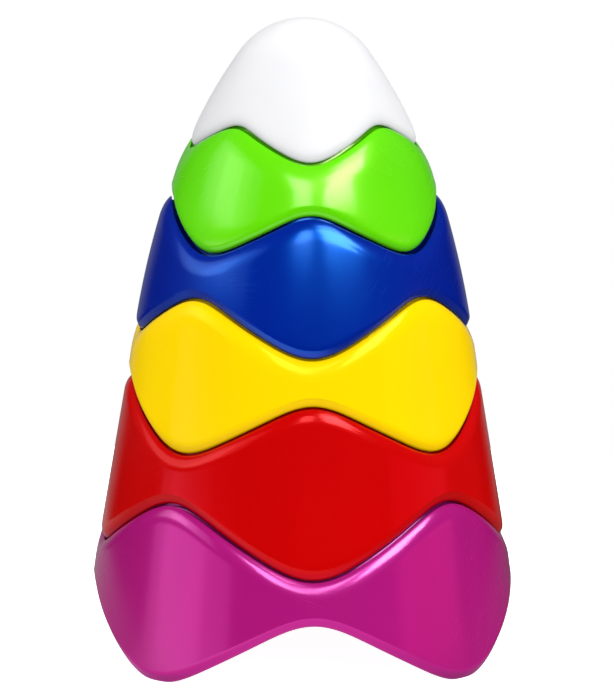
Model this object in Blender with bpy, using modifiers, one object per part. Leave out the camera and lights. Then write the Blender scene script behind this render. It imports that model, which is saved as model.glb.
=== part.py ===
"""Stacking cup tower: five wavy nesting cups under a domed top, each one a thin moulded shell.

Every cup is a turned shell that is then rippled: its rim follows one wave of lobes and crests, and the
ledge on its shoulder follows the wave of the cup above, so that the two close up like a joint.
The tower stands on +Z with its origin on the floor, under its axis. Lengths are in metres.
"""

import math
from dataclasses import dataclass

import bpy

SEGMENTS = 48  # facets around a cup: a multiple of 8, so that every lobe and crest gets the same ones
HALF_FACET = math.pi / SEGMENTS  # turns a flat facet, not a corner, to the middle of each lobe
LOBES = 4
SHARPER_TIPS = 0.0415  # share of the third harmonic, which straightens the flanks of the wave
MERGE = 0.00001

WALL = 0.0028
RIM_CHAMFER_HEIGHT = 0.003
RIM_CHAMFER_DEPTH = 0.0017
SEAT_GAP = 0.0003  # from a rim to the ledge that it rests on
NECK_CLEARANCE = 0.0005  # from a neck to the wall of the cup around it
SHOULDER_DEPTH = 0.0026  # by which a shoulder rounds in from its wall, up to the ledge
DECK_RISE = 0.006  # of the flat top of a neck, above the crests of the ledge around it
DECK_ROUND = 0.002
DOME_START = 0.025  # height above the rim where the side of the dome turns into its round cap


@dataclass(frozen=True)
class Cup:
    """One cup. Heights inside it count from its own level, the mean height of its rim."""

    name: str
    color: tuple
    level: float
    amplitude: float  # of the wave of its rim
    turn: float  # angle of its first lobe from the X axis
    radius: float  # of its outer side, at its level
    taper: float  # radius lost for each metre of height
    bulge: float  # further radius lost for each square metre of height
    shoulder: float  # height of the rounding between the outer side and the ledge

    def outer(self, height):
        return self.radius - self.taper * height - self.bulge * height**2

    def slope(self, height):
        return self.taper + 2 * self.bulge * height

    def rim_wave(self, angle):
        return -self.amplitude * wave(LOBES * (angle - self.turn))


def wave(phase):
    """1 in the middle of a lobe, -1 on a crest."""
    return (math.cos(phase) + SHARPER_TIPS * math.cos(3 * phase)) / (1 + SHARPER_TIPS)


BASE_WAVE = 0.0108
BASE_LEVEL = BASE_WAVE * wave(LOBES * HALF_FACET)  # sets the facets of the lobes on the floor
EIGHTH_TURN = math.pi / 4

CUPS = (
    Cup("magenta_cup", (0.39, 0.005, 0.17), BASE_LEVEL, BASE_WAVE, EIGHTH_TURN, 0.069, 0.14, 0.0, 0.006),
    Cup("red_cup", (0.52, 0.001, 0.001), 0.0453, 0.0101, 0.0, 0.0635, 0.168, 0.0, 0.005),
    Cup("yellow_cup", (0.94, 0.63, 0.001), 0.0800, 0.0087, EIGHTH_TURN, 0.05735, 0.145, 0.0, 0.007),
    Cup("blue_cup", (0.001, 0.012, 0.24), 0.1115, 0.0080, 0.0, 0.0525, 0.181, 1.9, 0.0065),
    Cup("green_cup", (0.11, 0.72, 0.001), 0.1401, 0.0066, EIGHTH_TURN, 0.04455, 0.23, 3.0, 0.009),
    Cup("white_dome", (0.75, 0.75, 0.77), 0.1674, 0.0048, 0.0, 0.0350, 0.445, 5.1, 0.0),
)


def share(value, start, end):
    """How far value has gone from start to end, kept between 0 and 1."""
    return min(1.0, max(0.0, (value - start) / (end - start)))


def arc(center, radius_out, radius_up, start, end, steps):
    """Points of an elliptical arc in the profile's plane, by the angle from the outward direction."""
    angles = (start + (end - start) * i / steps for i in range(steps + 1))
    return [(center[0] + radius_out * math.cos(a), center[1] + radius_up * math.sin(a)) for a in angles]


def rim_profile(cup):
    """The outer side's last stretch, the flat foot of the rim and the inner side's first stretch."""
    return [
        (cup.outer(RIM_CHAMFER_HEIGHT), RIM_CHAMFER_HEIGHT),
        (cup.outer(0) - RIM_CHAMFER_DEPTH, 0.0),
        (cup.outer(0) - WALL, 0.0),
        (cup.outer(RIM_CHAMFER_HEIGHT) - WALL, RIM_CHAMFER_HEIGHT),
    ]


class Stack:
    """Where one cup takes the next: the ledge, the neck and the deck, in the lower cup's own heights."""

    def __init__(self, cup, above):
        self.cup, self.above = cup, above
        self.step = above.level - cup.level
        self.seat = self.step - SEAT_GAP
        self.deck = self.step + above.amplitude + DECK_RISE
        self.shoulder = self.seat - cup.shoulder
        self.collar_top = self.deck - DECK_ROUND - WALL

    def neck(self, height):
        return self.above.outer(height - self.step) - WALL - NECK_CLEARANCE

    def shoulder_curve(self, steps):
        """The rounding from the ledge down to the outer side, tangent to both."""
        angles = [math.pi / 2 * (1 - i / steps) for i in range(steps + 1)]
        heights = [self.shoulder + self.cup.shoulder * math.sin(a) for a in angles]
        return [(self.cup.outer(h) - SHOULDER_DEPTH * (1 - math.cos(a)), h) for a, h in zip(angles, heights)]

    def profile(self):
        cup, seat, deck = self.cup, self.seat, self.deck
        middle = (RIM_CHAMFER_HEIGHT + self.shoulder) / 2
        edge, foot = self.neck(deck), self.neck(seat)
        outside = [(0.0, deck)]
        outside += arc((edge - DECK_ROUND, deck - DECK_ROUND), DECK_ROUND, DECK_ROUND, math.pi / 2, 0.0, 2)
        outside += [(foot, seat)]
        outside += self.shoulder_curve(3)
        outside += [(cup.outer(middle), middle)]
        inside = [
            (cup.outer(middle) - WALL, middle),
            (cup.outer(self.shoulder) - WALL, self.shoulder),
            (cup.outer(seat - WALL) - 1.25 * WALL, seat - WALL),
            (foot - WALL, seat - WALL),
            (edge - WALL, self.collar_top),
            (edge - WALL - DECK_ROUND, deck - WALL),
            (0.0, deck - WALL),
        ]
        return outside + rim_profile(cup) + inside

    def ripple(self, radius, height, angle):
        """Where a point of the turned shell goes in the rippled cup, as (radius, height)."""
        to_shoulder = share(height, RIM_CHAMFER_HEIGHT, self.shoulder)
        to_deck = share(height, self.seat, self.collar_top)
        rise = (1 - to_shoulder) * self.cup.rim_wave(angle)
        rise += to_shoulder * (1 - to_deck) * self.above.rim_wave(angle)
        wall_move = self.cup.outer(height + rise) - self.cup.outer(height)
        neck_move = self.neck(height + rise) - self.neck(height)
        on_wall = share(radius, self.neck(self.seat), self.cup.outer(self.shoulder) - WALL)
        if height <= self.shoulder:
            on_wall = 1.0
        return radius + on_wall * wall_move + (1 - on_wall) * neck_move, height + rise


class Dome:
    """The top piece: its side runs up into a round cap, inside and outside."""

    def __init__(self, cup):
        self.cup = cup
        lean = math.atan2(1.0, cup.slope(DOME_START))
        self.cap_radius = cup.outer(DOME_START) / math.sin(lean)
        self.cap_center = DOME_START - self.cap_radius * math.cos(lean)
        self.cap_start = math.pi / 2 - lean

    def profile(self):
        heights = [DOME_START * share_up for share_up in (0.75, 0.5, 0.3)]
        inner_cap = self.cap_radius - WALL
        center = (0.0, self.cap_center)
        outside = arc(center, self.cap_radius, self.cap_radius, math.pi / 2, self.cap_start, 6)
        outside += [(self.cup.outer(h), h) for h in heights]
        inside = [(self.cup.outer(h) - WALL, h) for h in reversed(heights[1:])]
        inside += arc(center, inner_cap, inner_cap, self.cap_start, math.pi / 2, 4)
        return outside + rim_profile(self.cup) + inside

    def ripple(self, radius, height, angle):
        """Where a point of the turned dome goes in the rippled dome, as (radius, height)."""
        rise = (1 - share(height, RIM_CHAMFER_HEIGHT, DOME_START)) * self.cup.rim_wave(angle)
        return radius + self.cup.outer(height + rise) - self.cup.outer(height), height + rise


def clear_scene():
    for existing in list(bpy.data.objects):
        bpy.data.objects.remove(existing, do_unlink=True)


def new_collection(name):
    collection = bpy.data.collections.new(name)
    bpy.context.scene.collection.children.link(collection)
    return collection


def gloss_plastic(name, color):
    material = bpy.data.materials.new(name)
    material.use_nodes = True
    shader = material.node_tree.nodes["Principled BSDF"]
    shader.inputs["Base Color"].default_value = (*color, 1.0)
    shader.inputs["Roughness"].default_value = 0.18
    shader.inputs["Metallic"].default_value = 0.0
    return material


def turned(profile):
    """The closed mesh of a profile turned around Z. The profile runs from the top down its outer side."""
    outline = bpy.data.meshes.new("profile")
    outline.from_pydata([(r, 0.0, z) for r, z in profile], [(i, i + 1) for i in range(len(profile) - 1)], [])
    turning = bpy.data.objects.new("turning", outline)
    bpy.context.scene.collection.objects.link(turning)
    screw = turning.modifiers.new("Turn", "SCREW")
    screw.axis = "Z"
    screw.steps = screw.render_steps = SEGMENTS
    screw.use_merge_vertices = True
    screw.merge_threshold = MERGE
    graph = bpy.context.evaluated_depsgraph_get()
    mesh = bpy.data.meshes.new_from_object(turning.evaluated_get(graph))
    bpy.data.objects.remove(turning)
    bpy.data.meshes.remove(outline)
    return mesh


def rippled(mesh, shape):
    for vertex in mesh.vertices:
        radius, height = math.hypot(vertex.co.x, vertex.co.y), vertex.co.z
        if radius > MERGE:
            angle = math.atan2(vertex.co.y, vertex.co.x) + HALF_FACET
            radius, height = shape.ripple(radius, height, angle)
            vertex.co = (radius * math.cos(angle), radius * math.sin(angle), height)
    mesh.update()
    return mesh


def build_tower():
    clear_scene()
    tower = new_collection("stacking_cup_tower")
    shapes = [Stack(cup, above) for cup, above in zip(CUPS, CUPS[1:])]
    shapes.append(Dome(CUPS[-1]))
    for shape in shapes:
        cup = shape.cup
        mesh = rippled(turned(shape.profile()), shape)
        mesh.name = cup.name
        mesh.materials.append(gloss_plastic(cup.name + "_plastic", cup.color))
        mesh.shade_smooth()
        mesh.set_sharp_from_angle(angle=math.radians(35))
        piece = bpy.data.objects.new(cup.name, mesh)
        piece.location = (0.0, 0.0, cup.level)
        tower.objects.link(piece)


build_tower()
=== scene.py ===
"""The looks of the stacking cup tower: six glossy moulded cups on a pale floor in soft studio light.

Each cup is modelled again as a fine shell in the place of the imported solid. It has the same rippled turned
shape, with the rounded edges, the groove behind the lip of its shoulder and the moulded surface that the
plain solid leaves out. Lengths are in metres.
"""

import math
from dataclasses import dataclass

import bpy
import numpy as np
from mathutils import Matrix, Vector


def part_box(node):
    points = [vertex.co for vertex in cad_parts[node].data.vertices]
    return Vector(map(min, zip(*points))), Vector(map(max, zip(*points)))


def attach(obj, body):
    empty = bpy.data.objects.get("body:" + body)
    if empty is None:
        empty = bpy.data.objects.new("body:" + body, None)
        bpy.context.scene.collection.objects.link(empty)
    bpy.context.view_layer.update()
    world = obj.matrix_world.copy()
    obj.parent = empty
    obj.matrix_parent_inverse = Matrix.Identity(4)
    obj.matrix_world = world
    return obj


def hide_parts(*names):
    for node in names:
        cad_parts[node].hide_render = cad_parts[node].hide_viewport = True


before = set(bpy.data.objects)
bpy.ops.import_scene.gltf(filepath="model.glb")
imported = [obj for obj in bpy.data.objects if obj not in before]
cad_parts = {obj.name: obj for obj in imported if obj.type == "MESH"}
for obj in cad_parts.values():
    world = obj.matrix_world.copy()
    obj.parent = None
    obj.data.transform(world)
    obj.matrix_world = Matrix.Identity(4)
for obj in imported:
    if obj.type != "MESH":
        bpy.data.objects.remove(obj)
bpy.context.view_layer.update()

MM = 0.001

# The moulded shape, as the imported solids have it
PACKED_SEGMENTS = 48  # facets around a packed cup
HALF_FACET = math.pi / PACKED_SEGMENTS
LOBES = 4
SHARPER_TIPS = 0.0415  # share of the third harmonic, which straightens the flanks of the wave
WALL = 2.8 * MM
RIM_CHAMFER_HEIGHT = 3.0 * MM
RIM_CHAMFER_DEPTH = 1.7 * MM
SEAT_GAP = 0.3 * MM  # from a rim to the ledge that it rests on
NECK_CLEARANCE = 0.5 * MM  # from a neck to the wall of the cup around it
SHOULDER_DEPTH = 2.6 * MM  # by which a shoulder rounds in from its wall
DECK_RISE = 6.0 * MM  # of the flat top of a neck, above the crests of the ledge around it
DECK_ROUND = 2.0 * MM
DOME_START = 25.0 * MM  # height above the rim where the side of the dome turns into its round cap

# How finely the shells are divided
COLUMNS = 320  # points around a cup
LONGEST_STEP = 1.4 * MM  # between two points of an outline
ROUND_STEPS = 7  # points in the rounding of a corner
SHOULDER_STEPS = 14
SIDE_STEPS = 12
DOME_SIDE_STEPS = 20
CAP_STEPS = 26

# The edges of the shells. Each is how far a rounding reaches from its corner.
CHAMFER_EDGE = 1.4 * MM  # down the chamfer at most, from its upper end
RIM_OUTER_EDGE = 1.1 * MM  # up the chamfer, from its lower end
RIM_FOOT_EDGE = 0.6 * MM  # along the foot, from its outer end
RIM_INNER_EDGE = 0.35 * MM
ROOT_ROUND = 0.7 * MM  # between a neck and its ledge
INSIDE_ROUND = 1.4 * MM
GROOVE_ROUND = 0.3 * MM
LIP_EDGE = 0.12 * MM

# What else only the shells have
RIM_LIFT = 0.1 * MM  # of the foot of each upper rim, which widens the dark joint under it
GROOVE_DEPTH = 1.5 * MM  # by which the ledge sinks behind the lip of its shoulder
LIP_START = math.radians(76)  # where on the rounding of the shoulder the lip is
FOOT_SOFTNESS = 0.35 * MM  # of the flattening where the bottom cup's lobes meet the floor
INNER_SIDE_START = 2.5 * RIM_INNER_EDGE  # clear of the rounding at the rim's inner edge
DOME_INNER_SIDE_END = 0.5 * DOME_START


# ---------------------------------------------------------------- the cups


def wave(phase):
    """1 in the middle of a lobe, -1 on a crest."""
    return (np.cos(phase) + SHARPER_TIPS * np.cos(3 * phase)) / (1 + SHARPER_TIPS)


@dataclass(frozen=True)
class Cup:
    """One cup. Heights inside it count from its own level, the mean height of its rim."""

    node: str
    body: str
    slot: str
    turn: float  # angle of its first lobe from the X axis
    amplitude: float  # of the wave of its rim
    radius: float  # of its outer side, at its level
    taper: float  # radius lost for each metre of height
    shoulder: float  # height of the rounding between the outer side and the ledge
    edge: float  # how far the rounding between the outer side and the chamfer reaches up the side
    bulge: float = 0.0  # further radius lost for each square metre of height

    @property
    def level(self):
        """Mean height of the rim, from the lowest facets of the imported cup."""
        low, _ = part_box(self.node)
        return low.z + self.amplitude * float(wave(LOBES * HALF_FACET))

    @property
    def side_start(self):
        """Height on the outer side just above the rounding over the chamfer."""
        return RIM_CHAMFER_HEIGHT + self.edge + RIM_INNER_EDGE

    def outer(self, height):
        return self.radius - self.taper * height - self.bulge * height**2

    def slope(self, height):
        return self.taper + 2 * self.bulge * height

    def rim_wave(self, angle):
        return -self.amplitude * wave(LOBES * (angle - self.turn))


EIGHTH_TURN = math.pi / 4
CUPS = (
    Cup("magenta_cup", "base", "magenta_plastic", turn=EIGHTH_TURN, amplitude=10.8 * MM,
        radius=69.0 * MM, taper=0.14, shoulder=6.0 * MM, edge=0.6 * MM),
    Cup("red_cup", "red", "red_plastic", turn=0.0, amplitude=10.1 * MM,
        radius=63.5 * MM, taper=0.168, shoulder=5.0 * MM, edge=1.4 * MM),
    Cup("yellow_cup", "yellow", "yellow_plastic", turn=EIGHTH_TURN, amplitude=8.7 * MM,
        radius=57.35 * MM, taper=0.145, shoulder=7.0 * MM, edge=1.4 * MM),
    Cup("blue_cup", "blue", "blue_plastic", turn=0.0, amplitude=8.0 * MM,
        radius=52.5 * MM, taper=0.181, shoulder=6.5 * MM, edge=0.9 * MM, bulge=1.9),
    Cup("green_cup", "green", "green_plastic", turn=EIGHTH_TURN, amplitude=6.6 * MM,
        radius=44.55 * MM, taper=0.23, shoulder=9.0 * MM, edge=3.0 * MM, bulge=3.0),
    Cup("white_dome", "dome", "white_plastic", turn=0.0, amplitude=4.8 * MM,
        radius=35.0 * MM, taper=0.445, shoulder=0.0, edge=3.4 * MM, bulge=5.1),
)


# ---------------------------------------------------------------- outlines of the turned shells


def share(value, start, end):
    """How far value has gone from start to end, kept between 0 and 1."""
    return np.clip((value - start) / (end - start), 0.0, 1.0)


def rounded(corners):
    """An outline with rounded corners. Each corner is (radius, height, reach before, reach after)."""
    points = []
    for i, (radius, height, before, after) in enumerate(corners):
        here = np.array([radius, height])
        if not before and not after:
            points.append(here)
            continue
        came = np.array(corners[i - 1][:2]) - here
        goes = np.array(corners[i + 1][:2]) - here
        came /= np.linalg.norm(came)
        goes /= np.linalg.norm(goes)
        start, end = here + before * came, here + after * goes
        weight = math.sqrt((1 - came @ goes) / 2)
        for t in np.linspace(0, 1, ROUND_STEPS):
            shares = np.array([(1 - t) ** 2, 2 * t * (1 - t) * weight, t**2])
            points.append((shares[0] * start + shares[1] * here + shares[2] * end) / shares.sum())
    return points


def spaced(points):
    """The outline with its long stretches divided, so that the ripple bends them smoothly."""
    fine = [points[0]]
    for a, b in zip(points, points[1:]):
        count = max(1, math.ceil(np.linalg.norm(b - a) / LONGEST_STEP))
        fine += [a + (b - a) * i / count for i in range(1, count + 1)]
    return np.array(fine)


def side(cup, inset, start, end, steps=SIDE_STEPS):
    """Corners along a side of the skirt, which may be curved."""
    return [(cup.outer(h) - inset, h, 0, 0) for h in np.linspace(start, end, steps)]


def rim(cup):
    """The corners of the rim: the upper and lower end of its chamfer, and the inner end of its foot."""
    foot = 0.0 if cup is CUPS[0] else RIM_LIFT
    return [
        (cup.outer(RIM_CHAMFER_HEIGHT), RIM_CHAMFER_HEIGHT, cup.edge, min(cup.edge, CHAMFER_EDGE)),
        (cup.outer(0) - RIM_CHAMFER_DEPTH, foot, RIM_OUTER_EDGE, RIM_FOOT_EDGE),
        (cup.outer(0) - WALL, foot, RIM_INNER_EDGE, RIM_INNER_EDGE),
    ]


class Stack:
    """A cup that takes another: the ledge, the neck and the deck, in the lower cup's own heights."""

    def __init__(self, cup, above):
        self.cup, self.above = cup, above
        self.step = above.level - cup.level
        self.seat = self.step - SEAT_GAP
        self.deck = self.step + above.amplitude + DECK_RISE
        self.shoulder = self.seat - cup.shoulder
        self.collar_top = self.deck - DECK_ROUND - WALL

    def neck(self, height):
        return self.above.outer(height - self.step) - WALL - NECK_CLEARANCE

    def shoulder_corners(self):
        """The groove, the lip outside it and the rounding from there down to the outer side."""
        cup, groove = self.cup, self.seat - GROOVE_DEPTH
        angles = np.linspace(LIP_START, 0, SHOULDER_STEPS)
        heights = [self.shoulder + cup.shoulder * math.sin(a) for a in angles]
        insets = [SHOULDER_DEPTH * (1 - math.cos(a)) for a in angles]
        lip = cup.outer(heights[0]) - insets[0]
        corners = [(lip - GROOVE_ROUND, groove, GROOVE_ROUND, GROOVE_ROUND)]
        corners += [(lip, heights[0], LIP_EDGE, LIP_EDGE)]
        corners += [(cup.outer(h) - inset, h, 0, 0) for h, inset in zip(heights[1:], insets[1:])]
        return corners

    def outline(self):
        """From the middle of the deck down the outside, around the rim and up the inside."""
        cup, deck = self.cup, self.deck
        edge, foot = self.neck(deck), self.neck(self.seat)
        inner_seat = self.seat - WALL
        corners = [(0.0, deck, 0, 0), (edge, deck, DECK_ROUND, DECK_ROUND)]
        corners += [(foot, self.seat - GROOVE_DEPTH, ROOT_ROUND, ROOT_ROUND)]
        corners += self.shoulder_corners()
        corners += side(cup, 0.0, self.shoulder - LONGEST_STEP, cup.side_start)
        corners += rim(cup)
        corners += side(cup, WALL, INNER_SIDE_START, inner_seat - 2 * INSIDE_ROUND)
        corners += [(cup.outer(inner_seat) - WALL, inner_seat, INSIDE_ROUND, INSIDE_ROUND)]
        corners += [(foot - WALL, inner_seat, ROOT_ROUND, ROOT_ROUND)]
        corners += [(edge - WALL, deck - WALL, INSIDE_ROUND, INSIDE_ROUND), (0.0, deck - WALL, 0, 0)]
        return spaced(rounded(corners))

    def ripple(self, radius, height, angle):
        """Where points of the turned shell go in the rippled cup, as (radius, height)."""
        to_shoulder = share(height, RIM_CHAMFER_HEIGHT, self.shoulder)
        to_deck = share(height, self.seat, self.collar_top)
        rise = (1 - to_shoulder) * self.cup.rim_wave(angle)
        rise = rise + to_shoulder * (1 - to_deck) * self.above.rim_wave(angle)
        wall_move = self.cup.outer(height + rise) - self.cup.outer(height)
        neck_move = self.neck(height + rise) - self.neck(height)
        on_wall = share(radius, self.neck(self.seat), self.cup.outer(self.shoulder) - WALL)
        on_wall = np.where(height <= self.shoulder, 1.0, on_wall)
        return radius + on_wall * wall_move + (1 - on_wall) * neck_move, height + rise


class Dome:
    """The top piece: its side runs up into a round cap, inside and outside."""

    def __init__(self, cup):
        self.cup = cup
        self.lean = math.atan2(1.0, cup.slope(DOME_START))
        self.cap_radius = cup.outer(DOME_START) / math.sin(self.lean)
        self.cap_center = DOME_START - self.cap_radius * math.cos(self.lean)

    def cap(self, radius):
        angles = np.linspace(0.0, self.lean, CAP_STEPS)
        return [(radius * math.sin(a), self.cap_center + radius * math.cos(a), 0, 0) for a in angles]

    def outline(self):
        """From the top of the cap down the outside, around the rim and up the inside."""
        cup = self.cup
        corners = self.cap(self.cap_radius)
        corners += side(cup, 0.0, DOME_START, cup.side_start, DOME_SIDE_STEPS)[1:]
        corners += rim(cup)
        corners += side(cup, WALL, INNER_SIDE_START, DOME_INNER_SIDE_END)
        corners += self.cap(self.cap_radius - WALL)[::-1]
        return spaced(rounded(corners))

    def ripple(self, radius, height, angle):
        """Where points of the turned dome go in the rippled dome, as (radius, height)."""
        rise = (1 - share(height, RIM_CHAMFER_HEIGHT, DOME_START)) * self.cup.rim_wave(angle)
        moved = radius + self.cup.outer(height + rise) - self.cup.outer(height)
        return np.where(radius > 0, moved, 0.0), height + rise


def shell_faces(rings):
    """The faces between the rings, with a fan to point 0 at the start and one to point 1 at the end."""
    first, last = 2, 2 + (rings - 1) * COLUMNS
    faces = []
    for here in range(COLUMNS):
        beside = (here + 1) % COLUMNS
        faces.append((0, first + here, first + beside))
        faces.append((1, last + beside, last + here))
        for ring in range(first, last, COLUMNS):
            under = ring + COLUMNS
            faces.append((ring + here, under + here, under + beside, ring + beside))
    return faces


def shell_mesh(shape):
    """The rippled shell as one closed mesh."""
    cup = shape.cup
    outline = shape.outline()
    angle = np.linspace(0, 2 * math.pi, COLUMNS, endpoint=False)
    rings = outline[1:-1]
    radius, height = shape.ripple(rings[:, :1], rings[:, 1:], angle[None, :])
    z = height + cup.level
    if cup is CUPS[0]:
        z = (z + np.sqrt(z**2 + FOOT_SOFTNESS**2)) / 2
    x, y = radius * np.cos(angle), radius * np.sin(angle)
    points = [(0.0, 0.0, outline[0][1] + cup.level), (0.0, 0.0, outline[-1][1] + cup.level)]
    points += np.stack([x, y, z], -1).reshape(-1, 3).tolist()
    mesh = bpy.data.meshes.new(cup.node + "_shell")
    mesh.from_pydata(points, [], shell_faces(len(rings)))
    mesh.shade_smooth()
    mesh.update()
    return mesh


# ---------------------------------------------------------------- node building

MIX_SOCKETS = {"FLOAT": (2, 3, 0), "RGBA": (6, 7, 2)}  # of a Mix node: its two inputs and its output


class Nodes:
    """Short calls for building the nodes of one material or of the world."""

    def __init__(self, tree):
        self.nodes, self.links = tree.nodes, tree.links
        self.coordinates = self.new("TexCoord").outputs

    def new(self, kind):
        return self.nodes.new("ShaderNode" + kind)

    def feed(self, socket, value):
        if isinstance(value, bpy.types.NodeSocket):
            self.links.new(value, socket)
        else:
            socket.default_value = value

    def noise(self, scale, stretch=(1, 1, 1), turn=(0, 0, 0), detail=2.0, twist=0.0):
        mapping = self.new("Mapping")
        mapping.vector_type = "TEXTURE"
        self.feed(mapping.inputs["Vector"], self.coordinates["Object"])
        mapping.inputs["Scale"].default_value = stretch
        mapping.inputs["Rotation"].default_value = [math.radians(t) for t in turn]
        texture = self.new("TexNoise")
        self.feed(texture.inputs["Vector"], mapping.outputs["Vector"])
        texture.inputs["Scale"].default_value = scale
        texture.inputs["Detail"].default_value = detail
        texture.inputs["Distortion"].default_value = twist
        return texture.outputs["Fac"]

    def math(self, operation, first, second):
        node = self.new("Math")
        node.operation = operation
        self.feed(node.inputs[0], first)
        self.feed(node.inputs[1], second)
        return node.outputs[0]

    def remap(self, value, start, end, low=0.0, high=1.0):
        """The number low up to start, high from end on, and an ease from one to the other between them."""
        node = self.new("MapRange")
        node.interpolation_type = "SMOOTHSTEP"
        for name, number in (("From Min", start), ("From Max", end), ("To Min", low), ("To Max", high)):
            node.inputs[name].default_value = number
        self.feed(node.inputs["Value"], value)
        return node.outputs[0]

    def mix(self, share_of_second, first, second, kind="RGBA"):
        node = self.new("Mix")
        node.data_type = kind
        first_input, second_input, result = MIX_SOCKETS[kind]
        self.feed(node.inputs["Factor"], share_of_second)
        self.feed(node.inputs[first_input], first)
        self.feed(node.inputs[second_input], second)
        return node.outputs[result]

    def split(self, vector):
        node = self.new("SeparateXYZ")
        self.feed(node.inputs[0], vector)
        return node.outputs

    def length(self, vector):
        node = self.new("VectorMath")
        node.operation = "LENGTH"
        self.feed(node.inputs[0], vector)
        return node.outputs["Value"]

    def bump(self, height, distance, below=None):
        node = self.new("Bump")
        node.inputs["Distance"].default_value = distance
        node.inputs["Strength"].default_value = 1.0
        self.feed(node.inputs["Height"], height)
        if below is not None:
            self.feed(node.inputs["Normal"], below)
        return node.outputs["Normal"]


def gray(value):
    return (value, value, value, 1.0)


WHITE = gray(1.0)


def scaled(color, factor):
    return (*(min(1.0, c * factor) for c in color), 1.0)


# ---------------------------------------------------------------- plastics

COAT_ROUGHNESS = 0.15
PAINTED_SHADE_REACH = 6.0 * MM  # of the painted shade in tight corners
PAINTED_SHADE_KEEP = 0.12  # share of its colour that plastic keeps in a corner under full painted shade
SCRATCH_TURNS = ((0, 40, 15), (10, -35, 70))  # directions of the two sets of scratches, in degrees


@dataclass(frozen=True)
class Plastic:
    color: tuple
    gloss: float
    gloss_tint: tuple
    roughness: float
    lacquer: float = 0.0  # a white reflection over the tinted one
    ior: float = 1.5
    corners: float = 0.0  # how much painted shade darkens its tight corners


# corners: how strongly painted shade darkens each plastic's colour in its tight corners and joints
PLASTICS = {
    "magenta_plastic": Plastic((0.385, 0.0045, 0.168), gloss=1.0, gloss_tint=(1.0, 0.12, 0.75),
                               roughness=0.20, lacquer=0.38, corners=0.45),
    "red_plastic": Plastic((0.525, 0.0002, 0.0004), gloss=0.5, gloss_tint=(1.0, 0.02, 0.03),
                           roughness=0.16, lacquer=0.10, corners=0.3),
    "yellow_plastic": Plastic((0.94, 0.635, 0.0002), gloss=0.2, gloss_tint=(1.0, 0.85, 0.01),
                              roughness=0.13, lacquer=0.04, corners=0.5),
    "blue_plastic": Plastic((0.0002, 0.011, 0.265), gloss=1.0, gloss_tint=(0.0, 0.25, 1.0),
                            roughness=0.22, lacquer=0.14, ior=1.6, corners=0.7),
    "green_plastic": Plastic((0.112, 0.67, 0.0003), gloss=0.5, gloss_tint=(0.5, 0.7, 0.05),
                             roughness=0.25, lacquer=0.40, corners=0.4),
    "white_plastic": Plastic((0.70, 0.70, 0.72), gloss=0.12, gloss_tint=(1.0, 1.0, 1.0), roughness=0.40),
}


class MouldedSurface(Nodes):
    """The nodes of one plastic. Its marks are numbers that vary over the surface between 0 and 1."""

    def __init__(self, tree, look):
        super().__init__(tree)
        self.look = look
        self.clouds = self.remap(self.noise(15.0, detail=3.0), 0.3, 0.7)
        self.flow = self.noise(70.0, stretch=(1, 1, 10), detail=1.5)
        self.scuffs = self.remap(self.noise(34.0, detail=4.0, twist=0.6), 0.56, 0.74)
        self.scratches = self.math("MAXIMUM", *(self.hairlines(turn) for turn in SCRATCH_TURNS))
        convex = self.new("NewGeometry").outputs["Pointiness"]
        rubbed = self.remap(self.noise(90.0), 0.35, 0.65)
        self.worn = self.math("MULTIPLY", self.remap(convex, 0.53, 0.62), rubbed)

    def hairlines(self, turn):
        """Short straight scratches: the peaks of a noise drawn out into threads, in some patches only."""
        threads = self.remap(self.noise(5200.0, (1, 50, 50), turn, 0.0), 0.72, 0.80)
        patches = self.remap(self.noise(24.0, turn=turn, detail=1.0), 0.50, 0.68)
        return self.math("MULTIPLY", threads, patches)

    def color(self):
        """Slightly clouded, with faint flow marks, paler where it is worn, and darkened by painted shade in
        tight corners.
        """
        plain = self.look.color
        chalky = (*(0.86 * c + 0.05 for c in plain), 1.0)
        color = self.mix(self.clouds, scaled(plain, 0.96), scaled(plain, 1.03))
        color = self.mix(self.remap(self.flow, 0.42, 0.6, 0.0, 0.5), color, scaled(plain, 0.95))
        color = self.mix(self.math("MULTIPLY", self.worn, 0.2), color, chalky)
        color = self.mix(self.math("MULTIPLY", self.scratches, 0.03), color, chalky)
        # painted shade: where ambient occlusion finds surfaces close by, as in the joints between cups, the
        # colour turns towards a darker copy of itself
        openness = self.new("AmbientOcclusion")
        openness.inputs["Distance"].default_value = PAINTED_SHADE_REACH
        painted_shade = self.remap(openness.outputs["AO"], 0.35, 0.9, self.look.corners, 0.0)
        return self.mix(painted_shade, color, scaled(plain, PAINTED_SHADE_KEEP))

    def roughness(self):
        smooth = self.look.roughness
        roughness = self.remap(self.clouds, 0.0, 1.0, 0.93 * smooth, 1.08 * smooth)
        for mark, extra in ((self.scuffs, 0.05), (self.scratches, 0.12), (self.worn, 0.12)):
            roughness = self.math("ADD", roughness, self.math("MULTIPLY", mark, extra))
        return roughness

    def normal(self):
        relief = (
            (self.noise(240.0, detail=1.0), 0.010 * MM),  # orange peel
            (self.noise(42.0, detail=1.0), 0.05 * MM),  # uneven shrinking
            (self.flow, 0.03 * MM),
            (self.noise(2600.0, detail=1.0), 0.0008 * MM),  # grain of the mould
            (self.scratches, -0.003 * MM),
        )
        normal = None
        for height, depth in relief:
            normal = self.bump(height, depth, normal)
        return normal


def plastic(name):
    """Moulded gloss plastic. What is the same all over it is set on the shader itself."""
    look = PLASTICS[name]
    material = bpy.data.materials.new(name)
    material.use_nodes = True
    surface = MouldedSurface(material.node_tree, look)
    shader = surface.nodes["Principled BSDF"].inputs
    surface.feed(shader["Base Color"], surface.color())
    surface.feed(shader["Roughness"], surface.roughness())
    surface.feed(shader["Normal"], surface.normal())
    shader["IOR"].default_value = look.ior
    shader["Specular IOR Level"].default_value = look.gloss
    shader["Specular Tint"].default_value = (*look.gloss_tint, 1.0)
    shader["Coat Weight"].default_value = look.lacquer
    shader["Coat Roughness"].default_value = COAT_ROUGHNESS
    return material


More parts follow.
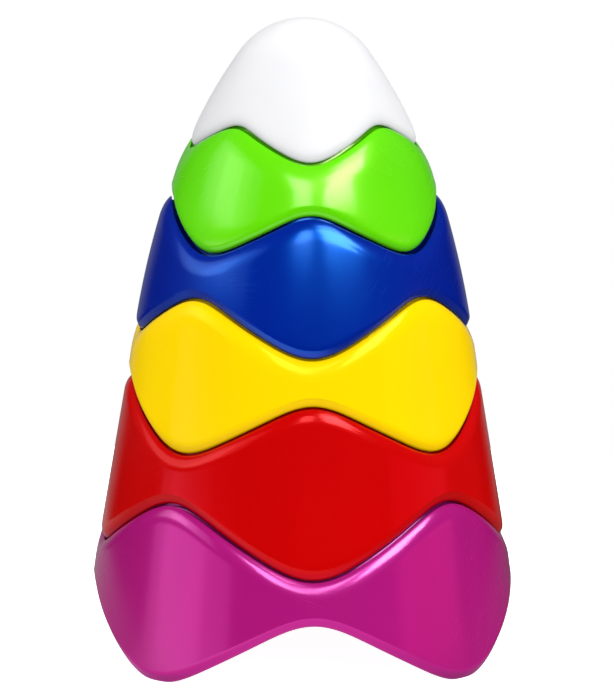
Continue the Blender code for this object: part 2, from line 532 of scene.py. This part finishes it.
def build_cups():
    shapes = [Stack(cup, above) for cup, above in zip(CUPS, CUPS[1:])] + [Dome(CUPS[-1])]
    for shape in shapes:
        cup = shape.cup
        mesh = shell_mesh(shape)
        mesh.materials.append(plastic(cup.slot))
        piece = bpy.data.objects.new(cup.node + "_shell", mesh)
        bpy.context.scene.collection.objects.link(piece)
        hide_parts(cup.node)
        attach(piece, cup.body)


# ---------------------------------------------------------------- floor

FLOOR_RADIUS = 0.3
FLOOR_CORNERS = 96
FLOOR_ROUGHNESS = 0.7
FLOOR_SEEN_GLOW = 0.94  # to the camera, which keeps the tower's shadows on it faint
FLOOR_SEEN, FLOOR_LIT, FLOOR_REFLECTED = gray(0.8), gray(0.45), gray(0.05)  # to each kind of ray
BOUNCED_PINK = (1.4, 0.45, 1.1, 1.0)  # tint of the floor's glow close to the bottom cup


def floor_material():
    """White to the camera. In reflections it glows at the front left, and pink close to the bottom cup."""
    material = bpy.data.materials.new("pale_floor")
    material.use_nodes = True
    build = Nodes(material.node_tree)
    shader = build.nodes["Principled BSDF"].inputs
    shader["Roughness"].default_value = FLOOR_ROUGHNESS
    shader["Specular IOR Level"].default_value = 0.0
    rays = build.new("LightPath").outputs
    place = build.coordinates["Object"]
    position = build.split(place)

    to_right = build.remap(position["X"], 0.0, 0.11, 2.2, 0.1)
    to_back = build.remap(position["Y"], -0.12, 0.0, 1.0, 0.1)
    reflected = build.math("MULTIPLY", to_right, to_back)
    strength = build.mix(rays["Is Glossy Ray"], 0.0, reflected, "FLOAT")
    strength = build.mix(rays["Is Camera Ray"], strength, FLOOR_SEEN_GLOW, "FLOAT")
    build.feed(shader["Emission Strength"], strength)

    close = build.remap(build.length(place), 0.085, 0.15, 1.0, 0.0)
    glow = build.mix(close, WHITE, BOUNCED_PINK)
    build.feed(shader["Emission Color"], build.mix(rays["Is Glossy Ray"], WHITE, glow))

    color = build.mix(rays["Is Camera Ray"], FLOOR_LIT, FLOOR_SEEN)
    color = build.mix(rays["Is Glossy Ray"], color, FLOOR_REFLECTED)
    build.feed(shader["Base Color"], color)
    return material


def build_floor():
    angles = np.linspace(0, 2 * math.pi, FLOOR_CORNERS, endpoint=False)
    ring = [(FLOOR_RADIUS * math.cos(a), FLOOR_RADIUS * math.sin(a), 0.0) for a in angles]
    mesh = bpy.data.meshes.new("floor")
    mesh.from_pydata(ring, [], [tuple(range(FLOOR_CORNERS))])
    mesh.materials.append(floor_material())
    floor = bpy.data.objects.new("floor", mesh)
    bpy.context.scene.collection.objects.link(floor)


# ---------------------------------------------------------------- light

LAMP_AIM = Vector((0, 0, 0.12))
LAMP_DISTANCE = 1.2
PINK = (1.0, 0.5, 0.85)
ROSE = (1.0, 0.15, 0.3)


def softbox(name, radiance, azimuths, elevations, color=(1, 1, 1), reflected=True):
    """An area light that fills these angles (degrees) as seen from the tower.

    Azimuth 0 is at the front, towards the viewer, and grows to the viewer's right. Either it only shows as
    a reflection, or it only lights the surfaces softly.
    """
    azimuth, elevation = (math.radians(sum(pair) / 2) for pair in (azimuths, elevations))
    half_wide, half_high = (math.radians(pair[1] - pair[0]) / 2 for pair in (azimuths, elevations))
    aside, forward = math.sin(azimuth) * math.cos(elevation), math.cos(azimuth) * math.cos(elevation)
    away = Vector((aside, -forward, math.sin(elevation)))
    light = bpy.data.lights.new(name, "AREA")
    light.shape = "RECTANGLE"
    light.size = 2 * LAMP_DISTANCE * math.tan(half_wide) * math.cos(elevation)
    light.size_y = 2 * LAMP_DISTANCE * math.tan(half_high)
    light.color = color
    light.energy = radiance * math.pi * light.size * light.size_y
    lamp = bpy.data.objects.new(name, light)
    lamp.location = LAMP_AIM + away * LAMP_DISTANCE
    lamp.rotation_euler = away.to_track_quat("Z", "Y").to_euler()
    lamp.visible_glossy = reflected
    lamp.visible_diffuse = not reflected
    bpy.context.scene.collection.objects.link(lamp)


def build_softboxes():
    softbox("fill", 1.2, azimuths=(-5, 60), elevations=(10, 55), reflected=False)
    softbox("left_low", 1.3, azimuths=(-94, -42), elevations=(-14, 0), color=PINK)
    softbox("left_low_core", 1.3, azimuths=(-86, -58), elevations=(-14, 0), color=PINK)
    softbox("right_low", 1.3, azimuths=(50, 90), elevations=(-8, 4), color=ROSE)
    softbox("left_high", 1.1, azimuths=(-106, -44), elevations=(12, 38))
    softbox("left_middle", 1.1, azimuths=(-98, -54), elevations=(12, 36))
    softbox("left_core", 2.4, azimuths=(-86, -64), elevations=(13, 30))
    softbox("key_low", 22.0, azimuths=(15, 43), elevations=(22, 32))
    softbox("key_box", 22.0, azimuths=(16, 57), elevations=(32, 48))
    softbox("key_top", 13.0, azimuths=(20, 64), elevations=(48, 59))
    softbox("front_box", 13.0, azimuths=(-12, 4), elevations=(22, 44))


def build_world():
    """Soft white light from all round, which reflections show only at the back, and faintly."""
    world = bpy.data.worlds.new("studio")
    bpy.context.scene.world = world
    world.use_nodes = True
    build = Nodes(world.node_tree)
    rays = build.new("LightPath").outputs
    direction = build.split(build.coordinates["Generated"])
    lighting = build.remap(direction["Z"], -0.4, 0.5, 0.55, 1.42)
    reflected = build.remap(direction["Y"], 0.78, 0.97, 0.0, 0.2)
    strength = build.mix(rays["Is Glossy Ray"], lighting, reflected, "FLOAT")
    strength = build.mix(rays["Is Camera Ray"], strength, 1.0, "FLOAT")
    background = build.nodes["Background"].inputs
    background["Color"].default_value = WHITE
    build.feed(background["Strength"], strength)
    bpy.context.scene.view_settings.view_transform = "Standard"


# ---------------------------------------------------------------- camera

CAMERA_AZIMUTH = math.radians(-3.3)
CAMERA_PITCH = math.radians(11.53)
CAMERA_ROLL = math.radians(0.25)
CAMERA_DISTANCE = 2.0  # over the floor
CAMERA_SIGHT = 20.0  # how far it sees
AIM_HEIGHT = 96.0 * MM
AIM_ASIDE = 0.93 * MM
SENSOR_MM = 36.0  # its longer side
LENS_MM = 328.32


def build_camera():
    toward = Vector((math.sin(CAMERA_AZIMUTH), -math.cos(CAMERA_AZIMUTH), math.tan(CAMERA_PITCH)))
    right = Vector((math.cos(CAMERA_AZIMUTH), math.sin(CAMERA_AZIMUTH), 0))
    aim = Vector((0, 0, AIM_HEIGHT)) + right * AIM_ASIDE
    roll = Matrix.Rotation(CAMERA_ROLL, 3, "Z").to_quaternion()
    camera = bpy.data.objects.new("camera", bpy.data.cameras.new("camera"))
    camera.location = aim + toward * CAMERA_DISTANCE
    camera.rotation_mode = "QUATERNION"
    camera.rotation_quaternion = toward.to_track_quat("Z", "Y") @ roll
    camera.data.sensor_width = SENSOR_MM
    camera.data.lens = LENS_MM
    camera.data.clip_end = CAMERA_SIGHT
    bpy.context.scene.collection.objects.link(camera)
    bpy.context.scene.camera = camera


build_camera()
build_cups()
build_floor()
build_softboxes()
build_world()
